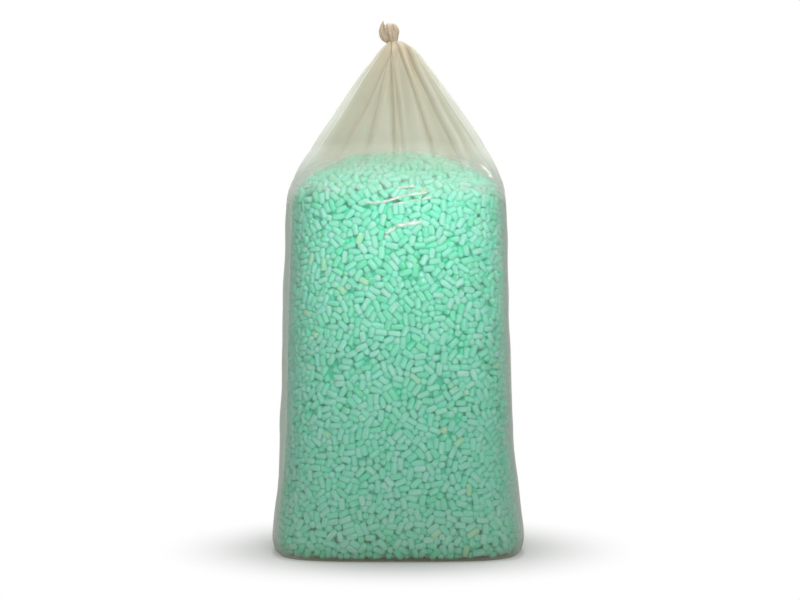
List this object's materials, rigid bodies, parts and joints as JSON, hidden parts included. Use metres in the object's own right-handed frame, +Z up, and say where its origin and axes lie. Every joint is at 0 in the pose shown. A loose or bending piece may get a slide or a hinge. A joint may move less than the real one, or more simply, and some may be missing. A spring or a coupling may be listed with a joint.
{
  "type": "packing peanut bag",
  "caption": "Tall clear film sack full of short mint green foam packing peanuts, its gathered neck tied in an overhand knot.",
  "frame": {"origin": "middle of the sack's box, on the floor that it stands on", "axes": "+Z up along the sack to its knot, +X to the right of the sack seen from the front, which faces -Y"},
  "size_m": [0.739, 0.62, 1.5739],
  "materials": {
    "film": "clear polyethylene film with a soft haze",
    "foam": "matte foamed starch, mint green"
  },
  "bodies": {
    "root": {"film_sack": "film", "peanut_heap": "foam", "peanut_01": "foam", "peanut_02": "foam", "peanut_03": "foam", "peanut_04": "foam", "peanut_05": "foam", "peanut_06": "foam", "peanut_07": "foam", "peanut_08": "foam", "peanut_09": "foam", "peanut_10": "foam", "peanut_11": "foam", "peanut_12": "foam", "peanut_13": "foam", "peanut_14": "foam", "peanut_15": "foam", "peanut_16": "foam", "peanut_17": "foam", "peanut_18": "foam", "peanut_19": "foam", "peanut_20": "foam", "peanut_21": "foam", "peanut_22": "foam", "peanut_23": "foam", "peanut_24": "foam", "peanut_25": "foam", "peanut_26": "foam", "peanut_27": "foam", "peanut_28": "foam", "peanut_29": "foam", "peanut_30": "foam", "peanut_31": "foam", "peanut_32": "foam", "peanut_33": "foam", "peanut_34": "foam"}
  },
  "joints": []
}
